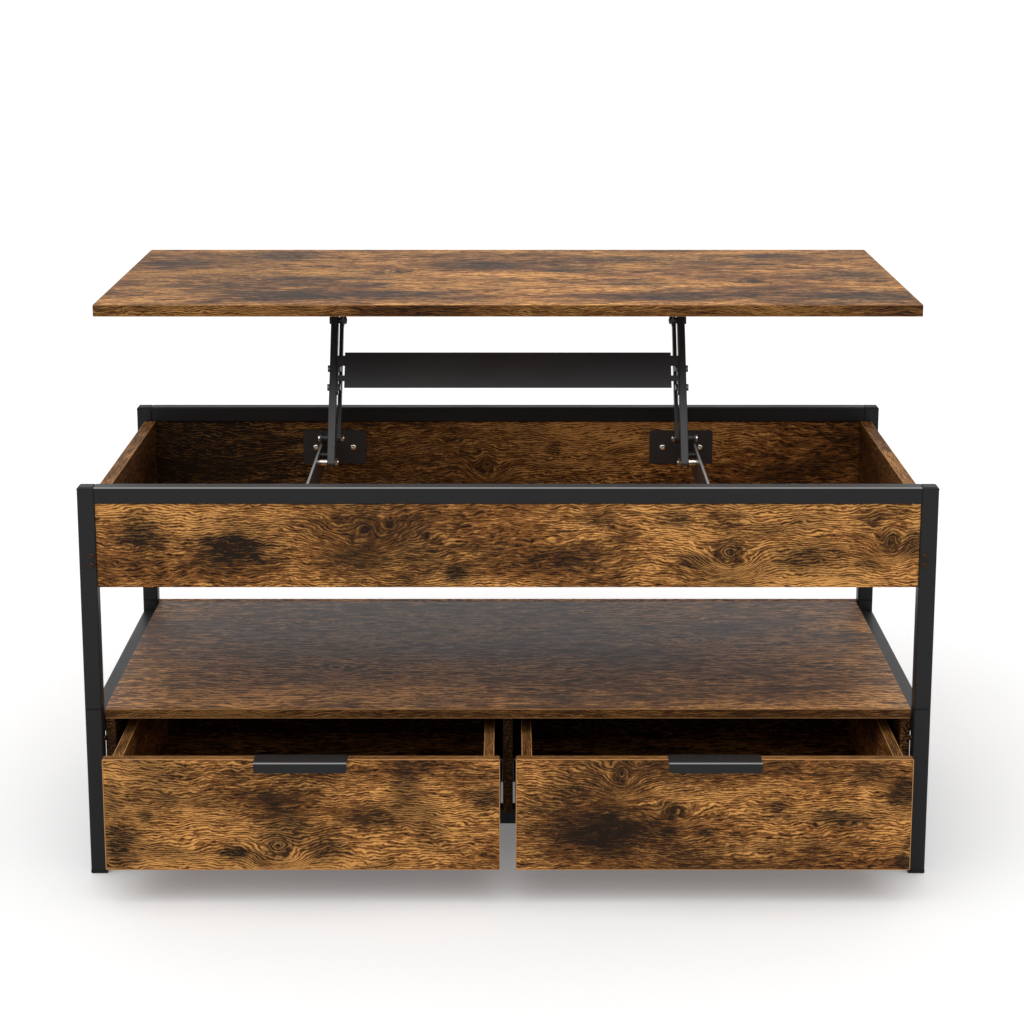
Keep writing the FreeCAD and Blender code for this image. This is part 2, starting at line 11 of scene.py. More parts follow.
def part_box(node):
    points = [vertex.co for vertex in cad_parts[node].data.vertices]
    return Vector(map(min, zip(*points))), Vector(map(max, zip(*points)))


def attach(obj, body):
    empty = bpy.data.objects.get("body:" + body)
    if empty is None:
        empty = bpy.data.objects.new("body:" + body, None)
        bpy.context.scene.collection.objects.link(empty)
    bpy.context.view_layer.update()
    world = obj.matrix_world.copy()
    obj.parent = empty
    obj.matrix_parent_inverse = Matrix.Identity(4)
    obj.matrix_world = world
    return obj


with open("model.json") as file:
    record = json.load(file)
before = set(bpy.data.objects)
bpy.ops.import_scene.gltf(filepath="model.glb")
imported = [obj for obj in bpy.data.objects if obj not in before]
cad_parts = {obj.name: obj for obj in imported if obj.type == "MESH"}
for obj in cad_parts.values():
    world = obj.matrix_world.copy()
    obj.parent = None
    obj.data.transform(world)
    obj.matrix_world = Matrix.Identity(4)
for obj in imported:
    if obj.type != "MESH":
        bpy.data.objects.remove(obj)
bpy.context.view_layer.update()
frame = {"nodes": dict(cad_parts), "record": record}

bl_info = {
    "name": "Lift-top coffee table",
    "version": (1, 0, 0),
    "blender": (4, 5, 0),
    "location": "3D View > Sidebar > Lift Table",
    "description": "Finishes a lift-top coffee table: wood-print boards, edge bands, steel and stage",
    "category": "Object",
}

NODES = frame["nodes"]
SLOTS = {part["node"]: part["material_slot"] for part in frame["record"]["subparts"]}
SIDES = ("left", "right")
X, Y, Z = range(3)

# Beginnings of the names of the pieces in the lift's glossier coat, whose lighter black is painted light
# against the shade under the raised top
LIFT_PIECES = ("lift_arm", "follower_", "cross_plate", "top_bracket", "top_pivots")
# Inner upper edge of a lift rail, where a painted highlight runs: its distances from the middle, and the
# axes that count
RAIL_EDGE = ((0.2475, 0, 0.439), (1, 0, 1))
# Points in each rounded corner of an edge band
BAND_STEPS = 4
# Metres within which the points of a band are merged
MERGE_WITHIN = 1e-7
# Half size, in metres, of a knot or stain in the direction that doesn't count
FAR = 1000.0
# Width of the camera's frame in millimetres
FRAME_WIDTH = 36

# Waves in a metre of each noise of the print: along, across and through the grain
WAVES = {
    "slow bend": (7.0, 16.0, 16.0), "quick bend": (60.0, 85.0, 85.0), "wander": (34.0, 90.0, 90.0),
    "patch": (6.0, 15.0, 15.0), "warmth": (4.0, 11.0, 11.0), "ragged": (16.0, 80.0, 80.0),
}
# Levels between which each part of the print fades in
FADES = {
    "ridge": (0.4, 0.62), "hair": (0.32, 0.68), "middle": (0.05, 0.52), "highlight": (0.5, 1.12),
    "stain": (0.46, 0.68), "streak": (0.6, 0.7), "cover": (1.0, 0.4), "dim": (0.3, 1.1),
    "speck": (0.7, 0.78), "gloss": (0.0, 1.0), "knot heart": (0.75, 0.2), "knot halo": (2.0, 0.9),
    "stain halo": (2.6, 0.8), "stain middle": (1.5, 0.4),
}
# Levels that they fade from and to
LEVELS = {
    "ridge": (0.14, 0.36), "hair": (0.0, 0.66), "streak": (0.0, 0.75), "cover": (0.8, 1.0),
    "speck": (0.0, 0.6), "gloss": (0.6, 0.5), "knot halo": (0.0, 0.75),
    "stain halo": (0.0, 0.6), "stain middle": (0.0, 0.5),
}
# Metres by which slow and quick bends move the rows, and rows by which they wander
SLOW_BEND, QUICK_BEND, WANDER = 0.034, 0.006, 3.0
# Least level of the grain, and how far warm patches lift it
GRAIN_BASE, WARMTH = 0.24, 1.9
# Streaks have this share of the grain's waves
STREAK_SHARE = (0.21, 0.39, 0.39)
# Step in the endless print from one noise to another
ASIDE = (9.0, 4.0, 2.0)
# How dark the print's own stains are
FREE_STAIN = 0.8
# Rim of a stain: ragged value times the first, plus distance times the second, plus the third
STAIN_RIM = (-3.0, 0.85, 1.5)
# Rim of a knot: ragged value times the first, plus distance, plus the second
KNOT_RIM = (-1.4, 0.7)
# How fast a knot lets go of the rows: power of e for each squared distance
KNOT_FADE = -0.3
# Coat: waves in a metre of its slow changes, and how far they move its shade and its roughness
COAT_WAVES, COAT_SHADE, COAT_ROUGH, SPECK_ROUGH = 9.0, 0.3, 0.16, 0.06
# Strength of the bump of every finish
BUMP = 0.6
# How far the print is stretched along and across the grain
STRETCH = {"flat": (2.0, 2.4), "front": (1.0, 1.0), "side": (1.0, 1.0), "band": (1.8, 0.6)}
# Where each board is cut from the endless print: three wraps and steps
SEED_STEPS = ((97, 1.37), (89, 2.11), (83, 1.73))
# Group inputs that are colours
COLOUR_INPUTS = ("Highlight", "Middle", "Deep", "Smudge", "Colour")


def tone(red, green, blue):
    """A screen colour from 0 to 255 as linear light."""
    share = np.array((red, green, blue)) / 255
    return tuple(np.where(share <= 0.04045, share / 12.92, ((share + 0.055) / 1.055) ** 2.4))


# The three ways that a board stands: rows turn the object's axes to along, across and through the grain
BOARD_AXES = {
    "flat": Matrix(((1, 0, 0), (0, 1, 0), (0, 0, 1))),
    "front": Matrix(((1, 0, 0), (0, 0, 1), (0, -1, 0))),
    "side": Matrix(((0, 1, 0), (0, 0, 1), (1, 0, 0))),
}

# Knots of the print, as shares of a board's half length and half width: place, then half sizes
KNOT_SHARES = {
    "tabletop": ((-0.29, 0.13, 0.025, 0.05), (0.53, 0.61, 0.03, 0.05), (0.62, -0.2, 0.03, 0.06)),
    "front_apron": ((-0.345, 0.4, 0.04, 0.32), (0.54, -0.17, 0.03, 0.25), (0.93, 0.1, 0.02, 0.22)),
    "back_panel": ((-0.06, -0.17, 0.026, 0.27),),
    "shelf": ((-0.45, -0.3, 0.03, 0.07), (0.5, 0.2, 0.03, 0.06)),
    "drawer_left_front": ((-0.125, -0.58, 0.06, 0.2),),
    "drawer_right_front": ((-0.47, 0.76, 0.04, 0.17), (-0.215, 0.07, 0.06, 0.14)),
}

# Painted shade over a whole board that lies in shade inside the table, apart from how dark it is
OVERALL_SHADE = (0.0, 0.0, 3.0, 3.0)

# Dark smudges, in the same shares, and how dark each is: most are stains of the print, and those marked so
# are painted shade
SMUDGE_SHARES = {
    "tabletop": (
        (-0.88, 0.46, 0.07, 0.16, 0.85), (-0.63, 0.72, 0.112, 0.16, 0.85),
        (-0.49, -0.12, 0.154, 0.072, 0.85), (-0.75, -0.39, 0.112, 0.056, 0.85),
        (-0.56, -0.66, 0.112, 0.144, 0.85), (-0.37, -0.36, 0.056, 0.072, 0.85),
        (-0.29, -0.64, 0.098, 0.08, 0.85), (-0.05, 0.37, 0.084, 0.112, 0.85),
        (0.31, 0.61, 0.126, 0.096, 0.85), (0.7, 0.74, 0.07, 0.08, 0.85),
        (0.16, 0.2, 0.056, 0.064, 0.85), (0.32, -0.31, 0.084, 0.04, 0.85),
        (0.9, 0.03, 0.084, 0.12, 0.85), (0.87, -0.72, 0.112, 0.128, 0.85), (-0.95, -0.68, 0.056, 0.048, 0.6),
        (-0.75, 0.1, 0.28, 0.7, 0.5), (0.45, 0.55, 0.3, 0.25, 0.45), (0.1, 0.85, 0.9, 0.2, 0.35),
    ),
    "front_apron": (
        (-0.89, 0.19, 0.04, 0.3, 0.9), (-0.66, -0.05, 0.07, 0.36, 1.0), (-0.79, 0.14, 0.06, 0.1, 0.5),
        (-0.245, 0.31, 0.06, 0.43, 0.7), (-0.36, -0.36, 0.055, 0.31, 0.8), (-0.46, 0.38, 0.04, 0.2, 0.5),
        (-0.34, 0.85, 0.055, 0.14, 0.6), (-0.125, -0.67, 0.027, 0.14, 1.0), (0.18, -0.29, 0.06, 0.2, 0.8),
        (0.225, 0.62, 0.03, 0.12, 0.7), (0.28, 0.21, 0.02, 0.15, 0.6), (0.41, 0.64, 0.03, 0.12, 0.7),
        (0.53, 0.64, 0.035, 0.17, 0.6), (0.46, -0.38, 0.035, 0.12, 0.8), (0.485, -0.64, 0.05, 0.12, 0.5),
        (0.73, -0.29, 0.055, 0.24, 0.8), (0.885, 0.67, 0.02, 0.14, 0.8), (0.985, 0.1, 0.02, 0.22, 0.8),
        (0.875, -0.43, 0.022, 0.12, 0.7),
    ),
    "back_panel": (
        (-0.17, 0.5, 0.02, 0.2, 0.7), (0.125, 0.23, 0.02, 0.15, 0.8), (-0.31, -0.2, 0.025, 0.3, 0.6),
        # Painted shade: these two broad smudges darken the left part of the back panel, which lies in the
        # shade of the left side
        (-0.86, 0.1, 0.3, 1.4, 1.0), (-0.5, 0.0, 0.5, 2.0, 0.6),
    ),
    # Painted shade over the whole of the boards that lie in shade inside the compartment and round the
    # drawers
    "compartment_side_left": ((*OVERALL_SHADE, 0.8),),
    "compartment_side_right": ((*OVERALL_SHADE, 0.7),),
    "drawer_divider": ((*OVERALL_SHADE, 0.85),),
    "lower_side_left": ((*OVERALL_SHADE, 0.85),),
    "lower_side_right": ((*OVERALL_SHADE, 0.85),),
    # Shelf: the first, broad smudge is painted shade over its back, under the compartment; the other two are
    # stains of the print
    "shelf": ((-0.25, 0.75, 0.8, 1.0, 0.75), (-0.7, -0.5, 0.2, 0.3, 0.4), (0.3, -0.6, 0.3, 0.2, 0.4)),
    # Painted shade over the whole of each drawer's back, which lies in the dark inside the drawer
    "drawer_left_back": ((*OVERALL_SHADE, 0.85),),
    "drawer_right_back": ((*OVERALL_SHADE, 0.85),),
    "drawer_left_front": (
        (-0.69, 0.82, 0.13, 0.15, 0.6), (0.0, 0.64, 0.11, 0.13, 0.5), (0.525, 0.58, 0.05, 0.36, 0.75),
        (-0.965, 0.25, 0.04, 0.18, 0.7), (-0.915, -0.51, 0.07, 0.33, 0.9), (-0.795, -0.05, 0.035, 0.11, 0.8),
        (-0.44, 0.25, 0.11, 0.1, 0.6), (-0.13, 0.29, 0.14, 0.16, 0.8), (-0.075, -0.24, 0.1, 0.26, 0.8),
        (-0.345, -0.69, 0.055, 0.11, 1.0), (-0.215, -0.78, 0.04, 0.1, 0.7), (0.395, -0.05, 0.13, 0.15, 0.8),
        (0.585, 0.0, 0.08, 0.16, 0.6), (0.935, 0.29, 0.07, 0.15, 0.85), (0.65, -0.31, 0.05, 0.18, 0.5),
        (0.11, -0.62, 0.07, 0.17, 0.8),
    ),
    "drawer_right_front": (
        (-0.715, 0.47, 0.055, 0.11, 0.85), (-0.145, 0.69, 0.19, 0.18, 0.4), (0.375, 0.84, 0.05, 0.07, 0.7),
        (0.775, 0.78, 0.075, 0.13, 0.75), (0.955, 0.4, 0.05, 0.18, 0.9), (0.97, -0.84, 0.025, 0.15, 0.8),
        (-0.575, -0.31, 0.23, 0.31, 1.0), (-0.88, -0.22, 0.08, 0.07, 0.7), (-0.235, -0.33, 0.04, 0.11, 0.9),
        (-0.04, -0.33, 0.03, 0.07, 0.9), (0.32, 0.11, 0.04, 0.11, 0.8), (0.245, -0.07, 0.49, 0.03, 0.4),
        (0.655, -0.02, 0.095, 0.11, 0.85), (0.1, -0.6, 0.04, 0.07, 0.6), (0.3, -0.64, 0.07, 0.11, 0.5),
    ),
}


class LaminateSettings(bpy.types.PropertyGroup):
    """Colours and scale of the wood print."""

    highlight: FloatVectorProperty(
        name="Highlight", description="Palest lines of the grain", subtype="COLOR",
        min=0, max=1, default=tone(240, 174, 98))
    middle: FloatVectorProperty(
        name="Middle", description="Main brown of the grain", subtype="COLOR",
        min=0, max=1, default=tone(138, 88, 44))
    deep: FloatVectorProperty(
        name="Deep", description="Dark lines of the grain", subtype="COLOR",
        min=0, max=1, default=tone(42, 24, 11))
    # The colour of the stains and knots, and also of the painted shade over boards that lie in shade
    smudge: FloatVectorProperty(
        name="Smudge", description="Dark stains and knots", subtype="COLOR",
        min=0, max=1, default=tone(36, 26, 18))
    # Painted highlight: the pale rim drawn along both edges of every band
    edge: FloatVectorProperty(
        name="Edge", description="Painted highlight on the rims of the edge bands", subtype="COLOR",
        min=0, max=1, default=tone(206, 152, 98))
    edge_width: FloatProperty(
        name="Edge width", description="Width of the painted highlight on the rims of the edge bands", subtype="DISTANCE",
        unit="LENGTH", default=0.0012)
    pitch: FloatProperty(
        name="Grain pitch", description="Width of one line of grain", subtype="DISTANCE",
        unit="LENGTH", default=0.003)
    run: FloatProperty(
        name="Grain run", description="Length of one line of grain", subtype="DISTANCE",
        unit="LENGTH", default=0.014)
    relief: FloatProperty(
        name="Relief", description="Depth of the embossed grain", subtype="DISTANCE",
        unit="LENGTH", default=0.0004)
    specular: FloatProperty(
        name="Specular", description="Strength of the reflection on upright boards", subtype="FACTOR",
        min=0, max=1, default=0.08)
    sheen: FloatProperty(
        name="Sheen", description="Strength of the reflection on flat boards", subtype="FACTOR",
        min=0, max=1, default=0.06)
    shelf_sheen: FloatProperty(
        name="Shelf sheen", description="Strength of the reflection on the open shelf", subtype="FACTOR",
        min=0, max=1, default=0.33)


class BandSettings(bpy.types.PropertyGroup):
    """Sizes of the edge bands that are glued round the boards."""

    thickness: FloatProperty(
        name="Thickness", description="Thickness of a band", subtype="DISTANCE",
        unit="LENGTH", default=0.0008)
    inset: FloatProperty(
        name="Inset", description="Step from a board's face to the band's edge", subtype="DISTANCE",
        unit="LENGTH", default=0.0001)
    rounding: FloatProperty(
        name="Rounding", description="Radius of a band's own edges", subtype="DISTANCE",
        unit="LENGTH", default=0.00025)


class MetalSettings(bpy.types.PropertyGroup):
    """Colours and texture of the steel, plastic and fasteners."""

    coat: FloatVectorProperty(
        name="Powder coat", description="Black of the coated steel", subtype="COLOR",
        min=0, max=1, default=tone(36, 36, 37))
    # Lighter than the frame's coat: the lighter black is painted light that makes up for the shade under the
    # raised top, the higher gloss is its finish
    lift: FloatVectorProperty(
        name="Lift coat", description="Satin black of the lift's arms, plate and rails", subtype="COLOR",
        min=0, max=1, default=tone(51, 51, 52))
    seam: FloatVectorProperty(
        name="Seam", description="Dark line where the two lengths of a post meet", subtype="COLOR",
        min=0, max=1, default=tone(14, 14, 14))
    bolt: FloatVectorProperty(
        name="Bolt", description="Burnished steel of the cross plate's bolts", subtype="COLOR",
        min=0, max=1, default=tone(120, 120, 122))
    # Painted highlight: the pale grey line along the top edges of the lift rails, the front rail and the
    # pulls
    painted_highlight: FloatVectorProperty(
        name="Painted highlight", description="Grey of the painted highlight along edges", subtype="COLOR",
        min=0, max=1, default=tone(150, 150, 148))
    plastic: FloatVectorProperty(
        name="Plastic", description="Black of the caps and feet", subtype="COLOR",
        min=0, max=1, default=tone(30, 30, 31))
    zinc: FloatVectorProperty(
        name="Zinc", description="Plating of the screws and pivots", subtype="COLOR",
        min=0, max=1, default=tone(236, 233, 226))
    bronze: FloatVectorProperty(
        name="Bronze", description="Plating of the frame bolts", subtype="COLOR",
        min=0, max=1, default=tone(66, 48, 36))
    slide: FloatVectorProperty(
        name="Slide steel", description="Rolled steel of the drawer slides", subtype="COLOR",
        min=0, max=1, default=tone(120, 122, 126))
    gloss: FloatProperty(
        name="Gloss", description="Strength of the reflection on coat and plastic", subtype="FACTOR",
        min=0, max=1, default=0.15)
    lift_gloss: FloatProperty(
        name="Lift gloss", description="Strength of the reflection on the lift's coat", subtype="FACTOR",
        min=0, max=1, default=0.45)
    highlight_width: FloatProperty(
        name="Highlight width", description="Half the width of a painted edge highlight", subtype="DISTANCE",
        unit="LENGTH", default=0.0018)
    speck: FloatProperty(
        name="Speck", description="Size of the specks in the powder coat", subtype="DISTANCE",
        unit="LENGTH", default=0.0009)
    peel: FloatProperty(
        name="Peel", description="Depth of the powder coat's texture", subtype="DISTANCE",
        unit="LENGTH", default=0.00006)


class StageSettings(bpy.types.PropertyGroup):
    """Floor, light and camera."""

    floor: FloatVectorProperty(
        name="Floor", description="Colour of the floor", subtype="COLOR",
        min=0, max=1, default=(0.93, 0.93, 0.93))
    floor_reach: FloatProperty(
        name="Floor reach", description="Half the width of the floor", subtype="DISTANCE",
        unit="LENGTH", default=40.0)
    floor_lift: FloatProperty(
        name="Floor lift", description="Light that the floor adds towards white", default=0.17)
    sky: FloatProperty(name="Sky", description="Strength of the light from all round", default=0.35)
    key: FloatProperty(name="Key", description="Strength of the soft key light", default=1.25)
    key_height: FloatProperty(
        name="Key height", description="Angle of the key light above the floor",
        subtype="ANGLE", unit="ROTATION", default=radians(62))
    key_side: FloatProperty(
        name="Key side", description="Turn of the key light to the left of the camera",
        subtype="ANGLE", unit="ROTATION", default=radians(20))
    back: FloatProperty(name="Back", description="Strength of the soft light from behind", default=1.1)
    back_height: FloatProperty(
        name="Back height", description="Angle of the back light above the floor",
        subtype="ANGLE", unit="ROTATION", default=radians(65))
    spread: FloatProperty(
        name="Spread", description="Width of each soft light as seen from the table",
        subtype="ANGLE", unit="ROTATION", default=radians(80))
    camera_place: FloatVectorProperty(
        name="Camera", description="Place of the camera", subtype="TRANSLATION",
        unit="LENGTH", default=(0.0, -2.968, 1.1239))
    camera_tilt: FloatProperty(
        name="Camera tilt", description="How far the camera looks down",
        subtype="ANGLE", unit="ROTATION", default=radians(11.94))
    lens: FloatProperty(
        name="Lens", description="Focal length in millimetres on a 36 mm frame", default=81.97)
    shift_x: FloatProperty(name="Shift X", description="Sideways shift of the lens", default=0.004)
    shift_y: FloatProperty(name="Shift Y", description="Upward shift of the lens", default=-0.1)


def put(tree, kind, inputs=(), **settings):
    """Add a node, and feed its inputs from values or from other nodes' sockets."""
    node = tree.nodes.new("ShaderNode" + kind)
    for name, value in settings.items():
        setattr(node, name, value)
    for key, value in dict(inputs).items():
        if isinstance(value, bpy.types.NodeSocket):
            tree.links.new(value, node.inputs[key])
        else:
            node.inputs[key].default_value = value
    return node


def maths(tree, operation, *values):
    """Result of a maths node on one to three values."""
    return put(tree, "Math", enumerate(values), operation=operation).outputs[0]


def vectors(tree, operation, *values, result="Vector"):
    """Result of a vector maths node."""
    return put(tree, "VectorMath", enumerate(values), operation=operation).outputs[result]


def scaled(tree, vector, factor):
    """A vector times a value."""
    return put(tree, "VectorMath", {0: vector, "Scale": factor}, operation="SCALE").outputs[0]


def noise(tree, vector, detail, roughness=0.5, distortion=0.0):
    """Noise from 0 to 1 at a place that is already scaled."""
    values = {"Vector": vector, "Scale": 1.0, "Detail": detail, "Roughness": roughness,
              "Distortion": distortion}
    return put(tree, "TexNoise", values).outputs[0]


def step(tree, value, low, high, to_low=0.0, to_high=1.0):
    """Smooth step from one level to another."""
    values = {"Value": value, "From Min": low, "From Max": high, "To Min": to_low, "To Max": to_high}
    return put(tree, "MapRange", values, interpolation_type="SMOOTHSTEP").outputs[0]


def fade(tree, value, name):
    """Smooth step of the print, between the levels that its name gives."""
    return step(tree, value, *FADES[name], *LEVELS.get(name, (0.0, 1.0)))


def waves(tree, vector, name, seed):
    """A place scaled to the waves of one noise, and moved to its part of the endless print."""
    return vectors(tree, "MULTIPLY_ADD", vector, WAVES[name], seed)


def blend(tree, factor, first, second):
    """Mix of two colours."""
    return put(tree, "Mix", {0: factor, 6: first, 7: second}, data_type="RGBA").outputs[2]


def new_group(name, inputs, outputs):
    """Empty node group with named sockets, and its input and output nodes."""
    tree = bpy.data.node_groups.new(name, "ShaderNodeTree")
    for way, sockets in (("INPUT", inputs), ("OUTPUT", outputs)):
        for label, kind in sockets.items():
            tree.interface.new_socket(label, in_out=way, socket_type="NodeSocket" + kind)
    start = tree.nodes.new("NodeGroupInput").outputs
    end = tree.nodes.new("NodeGroupOutput").inputs
    return tree, start, end


def group(tree, name, inputs):
    """Outputs of a group that is placed in a material with its own values."""
    node = put(tree, "Group", node_tree=bpy.data.node_groups[name])
    for key, value in inputs.items():
        if isinstance(value, bpy.types.NodeSocket):
            tree.links.new(value, node.inputs[key])
        else:
            node.inputs[key].default_value = (*value, 1) if key in COLOUR_INPUTS else value
    return node.outputs


def make_smudge_group():
    """Soft oval darkening, used for stains of the print and for painted shade: a wide brown halo and a dark
    middle, with rims that a ragged value breaks.
    """
    tree, start, end = new_group(
        "Smudge",
        {"Vector": "Vector", "Dark": "Float", "Ragged": "Float", "Centre": "Vector",
         "Size": "Vector", "Strength": "Float"},
        {"Dark": "Float"})
    offset = vectors(tree, "DIVIDE", vectors(tree, "SUBTRACT", start["Vector"], start["Centre"]),
                     start["Size"])
    distance = vectors(tree, "LENGTH", offset, result="Value")
    pull, share, base = STAIN_RIM
    rim = maths(tree, "MULTIPLY_ADD", start["Ragged"], pull,
                maths(tree, "MULTIPLY_ADD", distance, share, base))
    halo = fade(tree, rim, "stain halo")
    middle = fade(tree, rim, "stain middle")
    dark = maths(tree, "MULTIPLY", maths(tree, "ADD", halo, middle), start["Strength"])
    tree.links.new(maths(tree, "MAXIMUM", dark, start["Dark"]), end["Dark"])


def make_knot_group():
    """Knot: a dark uneven heart, and a drift that turns the rows of grain into rings round it.

    Near the knot a row's place across the board gives way to its distance from the knot's centre.
    """
    tree, start, end = new_group(
        "Knot",
        {"Vector": "Vector", "Drift": "Float", "Dark": "Float", "Ragged": "Float", "Centre": "Vector",
         "Size": "Vector"},
        {"Drift": "Float", "Dark": "Float"})
    away = vectors(tree, "SUBTRACT", start["Vector"], start["Centre"])
    distance = vectors(tree, "LENGTH", vectors(tree, "DIVIDE", away, start["Size"]), result="Value")
    squared = maths(tree, "MULTIPLY", distance, distance)
    grip = maths(tree, "EXPONENT", maths(tree, "MULTIPLY", squared, KNOT_FADE))
    across = put(tree, "SeparateXYZ", {0: away}).outputs["Y"]
    width = put(tree, "SeparateXYZ", {0: start["Size"]}).outputs["Y"]
    ring = maths(tree, "SUBTRACT", maths(tree, "MULTIPLY", distance, width), across)
    tree.links.new(maths(tree, "MULTIPLY_ADD", ring, grip, start["Drift"]), end["Drift"])
    pull, base = KNOT_RIM
    uneven = maths(tree, "MULTIPLY_ADD", start["Ragged"], pull, maths(tree, "ADD", distance, base))
    dark = maths(tree, "MAXIMUM", fade(tree, uneven, "knot heart"), fade(tree, uneven, "knot halo"))
    tree.links.new(maths(tree, "MAXIMUM", dark, start["Dark"]), end["Dark"])


def make_ragged_group():
    """Ragged value that breaks the rims of stains and knots, stretched along the grain."""
    tree, start, end = new_group("Ragged", {"Vector": "Vector", "Seed": "Vector"}, {"Ragged": "Float"})
    place = waves(tree, start["Vector"], "ragged", start["Seed"])
    tree.links.new(noise(tree, place, detail=5.0, roughness=0.72), end["Ragged"])


def make_print_group():
    """Wood print: rows of wavy grain, fine broken hairs, slow changes of tone, dark streaks and stains."""
    tree, start, end = new_group(
        "Wood print",
        {"Vector": "Vector", "Seed": "Vector", "Drift": "Float", "Dark": "Float",
         "Highlight": "Color", "Middle": "Color", "Deep": "Color", "Smudge": "Color",
         "Pitch": "Float", "Run": "Float", "Stain": "Float"},
        {"Color": "Color", "Roughness": "Float", "Height": "Float"})
    place, seed = start["Vector"], start["Seed"]
    slow = noise(tree, waves(tree, place, "slow bend", seed), detail=2.0)
    quick = noise(tree, waves(tree, place, "quick bend", seed), detail=2.0)
    bend = maths(tree, "MULTIPLY_ADD", slow, SLOW_BEND, maths(tree, "MULTIPLY", quick, QUICK_BEND))
    shift = put(tree, "CombineXYZ", {"Y": maths(tree, "ADD", bend, start["Drift"])}).outputs[0]
    bent = vectors(tree, "ADD", place, shift)
    across = maths(tree, "DIVIDE", 1.0, start["Pitch"])
    along = maths(tree, "DIVIDE", 1.0, start["Run"])
    density = put(tree, "CombineXYZ", {"X": along, "Y": across, "Z": across}).outputs[0]
    aside = vectors(tree, "ADD", seed, ASIDE)
    patch = noise(tree, waves(tree, place, "patch", seed), detail=5.0, roughness=0.62)
    warm = noise(tree, waves(tree, bent, "warmth", aside), detail=4.0, roughness=0.6)
    wander = noise(tree, waves(tree, place, "wander", seed), detail=3.0, roughness=0.65)
    rows = maths(tree, "MULTIPLY", put(tree, "SeparateXYZ", {0: bent}).outputs["Y"], across)
    phase = maths(tree, "MULTIPLY_ADD", wander, WANDER, rows)
    ridge = maths(tree, "SINE", maths(tree, "MULTIPLY", phase, 2 * pi))
    fine = vectors(tree, "MULTIPLY_ADD", bent, density, seed)
    hair = noise(tree, fine, detail=3.0, roughness=0.75, distortion=0.5)
    raised = maths(tree, "MULTIPLY_ADD", ridge, fade(tree, warm, "ridge"), GRAIN_BASE)
    grain = maths(tree, "ADD", raised, fade(tree, hair, "hair"))
    lit = maths(tree, "MULTIPLY_ADD", maths(tree, "SUBTRACT", warm, 0.5), WARMTH, grain)
    low = blend(tree, fade(tree, lit, "middle"), start["Deep"], start["Middle"])
    wood = blend(tree, fade(tree, lit, "highlight"), low, start["Highlight"])
    free = maths(tree, "MULTIPLY", fade(tree, patch, "stain"), start["Stain"])
    sparse = vectors(tree, "MULTIPLY", density, STREAK_SHARE)
    crack = noise(tree, vectors(tree, "MULTIPLY_ADD", bent, sparse, aside), detail=2.0, roughness=0.6)
    # Dark brings in the knots and smudges, among them painted shade over boards that lie in shade
    stain = maths(tree, "MAXIMUM", maths(tree, "MAXIMUM", free, fade(tree, crack, "streak")), start["Dark"])
    cover = maths(tree, "MULTIPLY", stain, fade(tree, grain, "cover"))
    dim = blend(tree, fade(tree, grain, "dim"), start["Smudge"], start["Deep"])
    stained = blend(tree, cover, wood, dim)
    pale = maths(tree, "MULTIPLY", fade(tree, hair, "speck"), cover)
    tree.links.new(blend(tree, pale, stained, start["Highlight"]), end["Color"])
    tree.links.new(fade(tree, grain, "gloss"), end["Roughness"])
    tree.links.new(grain, end["Height"])


def make_coat_group():
    """Coat: fine specks of one colour, with slow changes of gloss and a little relief."""
    tree, start, end = new_group(
        "Coat",
        {"Vector": "Vector", "Colour": "Color", "Speck": "Float", "Rough": "Float", "Contrast": "Float"},
        {"Color": "Color", "Roughness": "Float", "Height": "Float"})
    specks = vectors(tree, "DIVIDE", start["Vector"], start["Speck"])
    fine = noise(tree, specks, detail=2.0, roughness=0.6)
    slow = noise(tree, scaled(tree, start["Vector"], COAT_WAVES), detail=3.0, roughness=0.55)
    drift = maths(tree, "SUBTRACT", slow, 0.5)
    shade = maths(tree, "MULTIPLY_ADD", maths(tree, "SUBTRACT", fine, 0.5), start["Contrast"], 1.0)
    shade = maths(tree, "MULTIPLY_ADD", drift, COAT_SHADE, shade)
    tree.links.new(scaled(tree, start["Colour"], shade), end["Color"])
    rough = maths(tree, "MULTIPLY_ADD", drift, COAT_ROUGH, start["Rough"])
    tree.links.new(maths(tree, "MULTIPLY_ADD", fine, SPECK_ROUGH, rough), end["Roughness"])
    tree.links.new(fine, end["Height"])


def make_edge_group():
    """Line along an edge: 1 within half a width of it, 0 beyond a width.

    The edge is given by its distances from the middle, on the axes that count.
    """
    tree, start, end = new_group(
        "Edge line", {"Vector": "Vector", "Edge": "Vector", "Axes": "Vector", "Width": "Float"},
        {"Mask": "Float"})
    apart = vectors(tree, "SUBTRACT", vectors(tree, "ABSOLUTE", start["Vector"]), start["Edge"])
    counted = vectors(tree, "MULTIPLY", vectors(tree, "ABSOLUTE", apart), start["Axes"])
    gaps = put(tree, "SeparateXYZ", {0: counted}).outputs
    largest = maths(tree, "MAXIMUM", gaps["X"], maths(tree, "MAXIMUM", gaps["Y"], gaps["Z"]))
    half = maths(tree, "MULTIPLY", start["Width"], 0.5)
    tree.links.new(step(tree, largest, start["Width"], half), end["Mask"])


def need_groups():
    """Make the shared node groups once."""
    makers = {"Smudge": make_smudge_group, "Knot": make_knot_group, "Ragged": make_ragged_group,
              "Wood print": make_print_group, "Coat": make_coat_group, "Edge line": make_edge_group}
    for name, maker in makers.items():
        if name not in bpy.data.node_groups:
            maker()


def new_material(name):
    """Material with an empty node tree, and its shader."""
    need_groups()
    material = bpy.data.materials.new(name)
    material.use_nodes = True
    tree = material.node_tree
    tree.nodes.clear()
    shader = put(tree, "BsdfPrincipled")
    tree.links.new(shader.outputs[0], put(tree, "OutputMaterial").inputs["Surface"])
    return material, tree, shader


